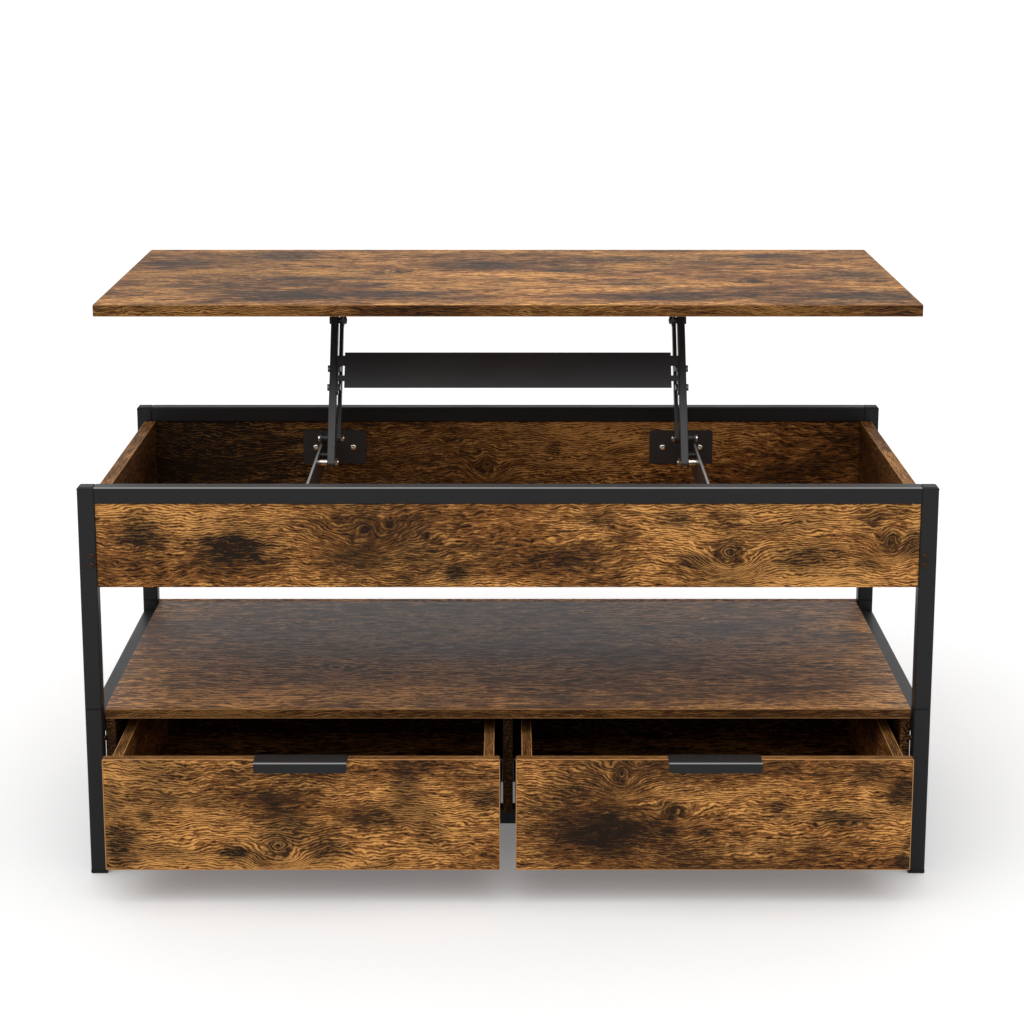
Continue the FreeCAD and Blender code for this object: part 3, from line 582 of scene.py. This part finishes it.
def finish_surface(tree, shader, outputs, depth):
    """Feed a shader from a finish's colour, roughness and height."""
    tree.links.new(outputs["Color"], shader.inputs["Base Color"])
    tree.links.new(outputs["Roughness"], shader.inputs["Roughness"])
    bump = put(tree, "Bump", {"Height": outputs["Height"], "Distance": depth, "Strength": BUMP})
    tree.links.new(bump.outputs[0], shader.inputs["Normal"])


def print_inputs(settings, name, kind):
    """Values that every wood print takes from the settings and from the kind of board."""
    along, across = STRETCH[kind]
    return {"Seed": seed_of(name), "Highlight": settings.highlight, "Middle": settings.middle,
            "Deep": settings.deep, "Smudge": settings.smudge, "Pitch": settings.pitch * across,
            "Run": settings.run * along, "Stain": FREE_STAIN}


def seed_of(name):
    """Place in the endless print that a board is cut from, different for each name."""
    total = sum(ord(letter) * (index + 1) for index, letter in enumerate(name))
    return tuple(total % wrap * size for wrap, size in SEED_STEPS)


def laminate(node_name, stands):
    """Wood print for one board, with the grain along it and its own knots and smudges; some smudges are
    painted shade.
    """
    settings = bpy.context.scene.lift_table_laminate
    material, tree, shader = new_material("wood_print_" + node_name)
    low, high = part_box(node_name)
    axes = BOARD_AXES[stands]
    middle = axes @ ((low + high) / 2)
    half = Vector(abs(value) for value in axes @ ((high - low) / 2))
    turned = put(tree, "Mapping", {
        "Vector": put(tree, "TexCoord").outputs["Object"],
        "Location": -middle, "Rotation": axes.to_euler()}).outputs[0]
    ragged = group(tree, "Ragged", {"Vector": turned, "Seed": seed_of(node_name)})["Ragged"]
    drift, dark = 0.0, 0.0
    for x, y, length, width in KNOT_SHARES.get(node_name, ()):
        made = group(tree, "Knot", {
            "Vector": turned, "Drift": drift, "Dark": dark, "Ragged": ragged,
            "Centre": (x * half.x, y * half.y, 0), "Size": (length * half.x, width * half.y, FAR)})
        drift, dark = made["Drift"], made["Dark"]
    for x, y, length, width, strength in SMUDGE_SHARES.get(node_name, ()):
        dark = group(tree, "Smudge", {
            "Vector": turned, "Dark": dark, "Ragged": ragged, "Strength": strength,
            "Centre": (x * half.x, y * half.y, 0), "Size": (length * half.x, width * half.y, FAR)})["Dark"]
    values = print_inputs(settings, node_name, stands)
    values.update({"Vector": turned, "Drift": drift, "Dark": dark})
    finish_surface(tree, shader, group(tree, "Wood print", values), settings.relief)
    sheen = settings.sheen if stands == "flat" else settings.specular
    if node_name == "shelf":
        sheen = settings.shelf_sheen
    shader.inputs["Specular IOR Level"].default_value = sheen
    return material


def band_print(name, through, low, high, stain, pale):
    """Wood print for an edge band: grain along the band's UV map, and a painted highlight as a pale line on
    both its edges.
    """
    settings = bpy.context.scene.lift_table_laminate
    material, tree, shader = new_material("wood_print_" + name)
    places = put(tree, "TexCoord").outputs
    values = print_inputs(settings, name, "band")
    outputs = group(tree, "Wood print", {**values, "Vector": places["UV"], "Dark": stain})
    finish_surface(tree, shader, outputs, settings.relief)
    axes = np.eye(3)[through]
    centred = put(tree, "Mapping", {"Vector": places["Object"], "Location": axes * -(low + high) / 2})
    mask = group(tree, "Edge line", {
        "Vector": centred.outputs[0], "Edge": axes * (high - low) / 2, "Axes": axes,
        "Width": settings.edge_width})["Mask"]
    # Painted highlight: a pale rim along both edges of the band, as strong as pale
    colour = blend(tree, maths(tree, "MULTIPLY", mask, pale), outputs["Color"], (*settings.edge, 1))
    tree.links.new(colour, shader.inputs["Base Color"])
    shader.inputs["Specular IOR Level"].default_value = settings.specular
    return material


def coat(name, colour, rough, contrast, gloss=0.5, metallic=0.0, line=None):
    """Coated, moulded or plated finish, which may have a line of another colour along one straight edge.

    The line is its edge's distances from the middle, the axes that count, and its colour: on the posts a
    dark seam, elsewhere a painted highlight.
    """
    settings = bpy.context.scene.lift_table_metal
    material, tree, shader = new_material(name)
    place = put(tree, "TexCoord").outputs["Object"]
    outputs = group(tree, "Coat", {"Vector": place, "Colour": colour, "Speck": settings.speck,
                                   "Rough": rough, "Contrast": contrast})
    finish_surface(tree, shader, outputs, settings.peel)
    shader.inputs["Metallic"].default_value = metallic
    shader.inputs["Specular IOR Level"].default_value = gloss
    if line:
        edge, axes, line_colour = line
        mask = group(tree, "Edge line", {"Vector": place, "Edge": edge, "Axes": axes,
                                         "Width": settings.highlight_width})["Mask"]
        lined = blend(tree, mask, outputs["Color"], (*line_colour, 1))
        tree.links.new(lined, shader.inputs["Base Color"])
    return material


def nodes_in(slot):
    """Names of the nodes in one of the record's material slots."""
    return [name for name in NODES if SLOTS[name] == slot]


def dress(names, material):
    """Give one material to several nodes."""
    for name in names:
        slots = NODES[name].data.materials
        slots.clear()
        slots.append(material)


def dress_boards(stands):
    """Give each board a wood print of its own."""
    for name, way in stands.items():
        dress([name], laminate(name, way))


def rounded_rectangle(width, height, radius, steps):
    """Closed outline and outward normals: quarter circles about the four inset corners."""
    turn = np.linspace(0, np.pi / 2, steps)
    angle = (np.arange(4)[:, None] * np.pi / 2 + turn).ravel()
    normals = np.stack((np.cos(angle), np.sin(angle)), axis=1)
    signs = np.repeat(np.array(((1, 1), (-1, 1), (-1, -1), (1, -1))), steps, axis=0)
    centres = signs * (np.array((width, height)) / 2 - radius)
    return centres + radius * normals, normals


def run_lengths(points, closed):
    """Distance along a line at each of its points, and once more at its closing point."""
    ends = np.vstack((points, points[:1])) if closed else points
    steps = np.linalg.norm(np.diff(ends, axis=0), axis=1)
    return np.concatenate(((0,), np.cumsum(steps)))


def swept_mesh(name, rings, along, around, closed):
    """Mesh of rings of points: each quad joins two rings, and its UV map is in metres along and around."""
    count, size = rings.shape[:2]
    i, j = np.meshgrid(np.arange(count if closed else count - 1), np.arange(size), indexing="ij")
    after, beside = (i + 1) % count, (j + 1) % size
    quads = np.stack((i * size + j, after * size + j, after * size + beside, i * size + beside), axis=-1)
    u = np.stack((along[i], along[i + 1], along[i + 1], along[i]), axis=-1)
    v = np.stack((around[j], around[j], around[j + 1], around[j + 1]), axis=-1)
    mesh = bpy.data.meshes.new(name)
    mesh.from_pydata(rings.reshape(-1, 3).tolist(), [], quads.reshape(-1, 4).tolist())
    mesh.uv_layers.new(name="Along").data.foreach_set("uv", np.stack((u, v), axis=-1).ravel())
    work = bmesh.new()
    work.from_mesh(mesh)
    bmesh.ops.remove_doubles(work, verts=work.verts, dist=MERGE_WITHIN)
    bmesh.ops.recalc_face_normals(work, faces=work.faces)
    work.to_mesh(mesh)
    work.free()
    return mesh


def add_band(mesh, body, through, low, high, stain, pale):
    """Put a band on its body, with its own wood print."""
    band = bpy.data.objects.new(mesh.name, mesh)
    bpy.context.scene.collection.objects.link(band)
    mesh.materials.append(band_print(mesh.name, through, low[through], high[through], stain, pale))
    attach(band, body)


def rim_band(node_name, body, through, stain=0.0, pale=1.0):
    """Band round a board's rim: a thin rounded strip carried along the board's rounded outline."""
    settings = bpy.context.scene.lift_table_band
    low, high = (np.array(corner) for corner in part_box(node_name))
    plane = [axis for axis in range(3) if axis != through]
    size = (high - low)[plane]
    outline, normals = rounded_rectangle(*size, settings.thickness, BAND_STEPS)
    depth = high[through] - low[through] - 2 * settings.inset
    strip, _ = rounded_rectangle(settings.thickness, depth, settings.rounding, BAND_STEPS)
    out = strip[:, 0] + settings.thickness / 2
    rings = np.empty((len(outline), len(strip), 3))
    rings[:, :, plane] = (outline[:, None] + normals[:, None] * out[None, :, None]
                          + ((low + high) / 2)[plane])
    rings[:, :, through] = strip[:, 1] + (low[through] + high[through]) / 2
    mesh = swept_mesh(node_name + "_band", rings, run_lengths(outline, True), run_lengths(strip, True), True)
    add_band(mesh, body, through, low, high, stain, pale)


def edge_band(node_name, body, along, out, side, stain=0.0, pale=1.0):
    """Band on one edge of a board: a thin rounded strip along it, closed at both ends."""
    settings = bpy.context.scene.lift_table_band
    low, high = (np.array(corner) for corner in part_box(node_name))
    across = 3 - along - out
    width = high[across] - low[across] - 2 * settings.inset
    strip, _ = rounded_rectangle(settings.thickness, width, settings.rounding, BAND_STEPS)
    face = high[out] if side > 0 else low[out]
    closing = np.array((0.0, 1.0, 1.0, 0.0))
    places = np.array((low[along], low[along], high[along], high[along]))
    rings = np.empty((len(places), len(strip), 3))
    rings[:, :, along] = places[:, None]
    rings[:, :, out] = face + side * settings.thickness / 2 + closing[:, None] * strip[:, 0]
    rings[:, :, across] = (low[across] + high[across]) / 2 + closing[:, None] * strip[:, 1]
    mesh = swept_mesh(node_name + "_band", rings, places - places[0], run_lengths(strip, True), False)
    add_band(mesh, body, across, low, high, stain, pale)


class LIFTTABLE_OT_tabletop(bpy.types.Operator):
    """Print the raising top and put the band round its rim"""

    bl_idname = "lift_table.tabletop"
    bl_label = "Tabletop"

    def execute(self, context):
        dress_boards({"tabletop": "flat"})
        rim_band("tabletop", "top", Z, stain=0.55, pale=0.4)
        return {"FINISHED"}


class LIFTTABLE_OT_compartment(bpy.types.Operator):
    """Print the boards of the compartment under the top"""

    bl_idname = "lift_table.compartment"
    bl_label = "Compartment"

    def execute(self, context):
        dress_boards({"front_apron": "front", "back_panel": "front", "compartment_floor": "flat"})
        for side in SIDES:
            name = "compartment_side_" + side
            dress_boards({name: "side"})
            edge_band(name, "frame", Y, Z, 1, stain=0.3, pale=0.5)
        return {"FINISHED"}


class LIFTTABLE_OT_shelf(bpy.types.Operator):
    """Print the shelf and the case round the drawers"""

    bl_idname = "lift_table.shelf"
    bl_label = "Shelf and case"

    def execute(self, context):
        dress_boards({"shelf": "flat", "drawer_divider": "side", "lower_back_panel": "front"})
        dress_boards({"lower_side_" + side: "side" for side in SIDES})
        # Painted shade: the shelf's band is darkened by 0.7, for its front edge in shade
        edge_band("shelf", "frame", X, Y, -1, stain=0.7, pale=0.7)
        return {"FINISHED"}


class LIFTTABLE_OT_drawers(bpy.types.Operator):
    """Print the boards of both drawers and put bands on their edges"""

    bl_idname = "lift_table.drawers"
    bl_label = "Drawers"

    def execute(self, context):
        for side in SIDES:
            body = "drawer_" + side
            dress_boards({body + "_front": "front", body + "_back": "front", body + "_bottom": "flat"})
            rim_band(body + "_front", body, Y, stain=0.5)
            for wall in ("_inner_side", "_outer_side"):
                dress_boards({body + wall: "side"})
                edge_band(body + wall, body, Y, Z, 1, stain=0.7)
        return {"FINISHED"}


class LIFTTABLE_OT_steel(bpy.types.Operator):
    """Powder-coat the frame, the lift and the drawer pulls"""

    bl_idname = "lift_table.steel"
    bl_label = "Coated steel"

    def execute(self, context):
        settings = context.scene.lift_table_metal
        names = nodes_in("black_steel")
        powder = {"colour": settings.coat, "rough": 0.4, "contrast": 0.5, "gloss": settings.gloss}
        # The lift's coat is lighter than the frame's: painted light against the shade under the raised top,
        # besides its higher gloss
        satin_lightened = {"colour": settings.lift, "rough": 0.34, "contrast": 0.4, "gloss": settings.lift_gloss}
        dress(names, coat("powder_coat", **powder))
        dress([name for name in names if name.startswith(LIFT_PIECES)], coat("lift_coat", **satin_lightened))
        # Painted highlight along the inner top edge of each lift rail
        rails = ["lift_base_" + side for side in SIDES]
        dress(rails, coat("rail_coat", **satin_lightened, line=(*RAIL_EDGE, settings.painted_highlight)))
        posts = [name for name in names if "_post_" in name]
        seam = ((0, 0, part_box("upper_post_front_left")[0].z), (0, 0, 1), settings.seam)
        dress(posts, coat("post_coat", **powder, line=seam))
        pulls = ["drawer_" + side + "_pull" for side in SIDES]
        # Painted highlight along the front top edge of the front rail and of each pull
        for painted_highlight in (["front_top_rail"], pulls):
            low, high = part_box(painted_highlight[0])
            front_edge = ((0, abs(low.y), high.z), (0, 1, 1), settings.painted_highlight)
            dress(painted_highlight, coat(painted_highlight[0] + "_coat", **powder, line=front_edge))
        return {"FINISHED"}


class LIFTTABLE_OT_plastic(bpy.types.Operator):
    """Finish the moulded caps, feet and spigots of the posts"""

    bl_idname = "lift_table.plastic"
    bl_label = "Moulded plastic"

    def execute(self, context):
        settings = context.scene.lift_table_metal
        plastic = coat("moulded_plastic", settings.plastic, rough=0.5, contrast=0.3, gloss=settings.gloss)
        dress(nodes_in("black_plastic"), plastic)
        return {"FINISHED"}


class LIFTTABLE_OT_fasteners(bpy.types.Operator):
    """Plate the screws, pivots and bolts, and finish the drawer slides"""

    bl_idname = "lift_table.fasteners"
    bl_label = "Fasteners and slides"

    def execute(self, context):
        settings = context.scene.lift_table_metal
        finishes = {
            "zinc_fasteners": coat("zinc_plate", settings.zinc, rough=0.22, contrast=0.2, metallic=1.0),
            "bronze_bolts": coat("bronze_plate", settings.bronze, rough=0.38, contrast=0.4, metallic=1.0),
            "slide_steel": coat("rolled_steel", settings.slide, rough=0.42, contrast=0.2, metallic=1.0),
        }
        for slot, material in finishes.items():
            dress(nodes_in(slot), material)
        burnished = coat("burnished_steel", settings.bolt, rough=0.3, contrast=0.2, metallic=1.0)
        dress(["cross_plate_bolts"], burnished)
        return {"FINISHED"}


class LIFTTABLE_OT_stage(bpy.types.Operator):
    """Lay the pale floor and set the soft light and the camera"""

    bl_idname = "lift_table.stage"
    bl_label = "Stage"

    def execute(self, context):
        settings = context.scene.lift_table_stage
        context.scene.view_settings.view_transform = "Standard"
        lay_floor(settings)
        light_sky(settings)
        hang_lights(settings)
        set_camera(settings)
        return {"FINISHED"}


def seen_directly(tree):
    """1 for rays from the eye and for clear reflections, 0 for light that spreads."""
    path = put(tree, "LightPath").outputs
    return maths(tree, "MAXIMUM", path["Is Camera Ray"],
                 maths(tree, "MAXIMUM", path["Is Glossy Ray"], path["Is Transmission Ray"]))


def lay_floor(settings):
    """Square floor that keeps the shadow and lifts what the eye sees towards white."""
    corners = np.array(((-1, -1, 0), (1, -1, 0), (1, 1, 0), (-1, 1, 0))) * settings.floor_reach
    mesh = bpy.data.meshes.new("floor")
    mesh.from_pydata(corners.tolist(), [], [(0, 1, 2, 3)])
    floor = bpy.data.objects.new("floor", mesh)
    bpy.context.scene.collection.objects.link(floor)
    material = bpy.data.materials.new("floor")
    material.use_nodes = True
    tree = material.node_tree
    tree.nodes.clear()
    matt = put(tree, "BsdfDiffuse", {"Color": (*settings.floor, 1)})
    glow = maths(tree, "MULTIPLY", seen_directly(tree), settings.floor_lift)
    lift = put(tree, "Emission", {"Strength": glow})
    both = put(tree, "AddShader", {0: matt.outputs[0], 1: lift.outputs[0]})
    tree.links.new(both.outputs[0], put(tree, "OutputMaterial").inputs["Surface"])
    mesh.materials.append(material)


def light_sky(settings):
    """White all round: a plain level of light, and pure white where it is seen."""
    world = bpy.data.worlds.new("sky")
    bpy.context.scene.world = world
    world.use_nodes = True
    tree = world.node_tree
    tree.nodes.clear()
    level = step(tree, seen_directly(tree), 0.0, 1.0, settings.sky, 1.0)
    sky = put(tree, "Background", {"Color": (1, 1, 1, 1), "Strength": level})
    tree.links.new(sky.outputs[0], put(tree, "OutputWorld").inputs["Surface"])


def hang_lights(settings):
    """Two wide soft lights: the key from the front left, and one from behind the table."""
    lights = {"key": (settings.key, settings.key_height, -settings.key_side),
              "back": (settings.back, settings.back_height, radians(180))}
    for name, (strength, height, turn) in lights.items():
        light = bpy.data.lights.new(name, "SUN")
        light.energy = strength
        light.angle = settings.spread
        holder = bpy.data.objects.new(name, light)
        holder.rotation_euler = (radians(90) - height, 0, turn)
        bpy.context.scene.collection.objects.link(holder)


def set_camera(settings):
    """Camera at eye height in front of the table."""
    data = bpy.data.cameras.new("camera")
    data.sensor_width = FRAME_WIDTH
    data.lens = settings.lens
    data.shift_x = settings.shift_x
    data.shift_y = settings.shift_y
    camera = bpy.data.objects.new("camera", data)
    camera.location = settings.camera_place
    camera.rotation_euler = (radians(90) - settings.camera_tilt, 0, 0)
    bpy.context.scene.collection.objects.link(camera)
    bpy.context.scene.camera = camera


OPERATORS = (LIFTTABLE_OT_tabletop, LIFTTABLE_OT_compartment, LIFTTABLE_OT_shelf, LIFTTABLE_OT_drawers,
             LIFTTABLE_OT_steel, LIFTTABLE_OT_plastic, LIFTTABLE_OT_fasteners, LIFTTABLE_OT_stage)
SETTINGS = {"lift_table_laminate": LaminateSettings, "lift_table_band": BandSettings,
            "lift_table_metal": MetalSettings, "lift_table_stage": StageSettings}


class LIFTTABLE_PT_finishes(bpy.types.Panel):
    """Lists the pieces of the table and their settings"""

    bl_idname = "LIFTTABLE_PT_finishes"
    bl_label = "Lift Table"
    bl_space_type = "VIEW_3D"
    bl_region_type = "UI"
    bl_category = "Lift Table"

    def draw(self, context):
        for operator in OPERATORS:
            self.layout.operator(operator.bl_idname)
        for name, settings in SETTINGS.items():
            box = self.layout.box()
            for label in settings.__annotations__:
                box.prop(getattr(context.scene, name), label)


CLASSES = (*SETTINGS.values(), *OPERATORS, LIFTTABLE_PT_finishes)


def register():
    for kind in CLASSES:
        bpy.utils.register_class(kind)
    for name, kind in SETTINGS.items():
        setattr(bpy.types.Scene, name, PointerProperty(type=kind))


def unregister():
    for name in SETTINGS:
        delattr(bpy.types.Scene, name)
    for kind in reversed(CLASSES):
        bpy.utils.unregister_class(kind)


def main():
    """Finish every piece in order."""
    register()
    for operator in OPERATORS:
        getattr(bpy.ops.lift_table, operator.bl_idname.split(".")[1])()


if __name__ == "__main__":
    main()
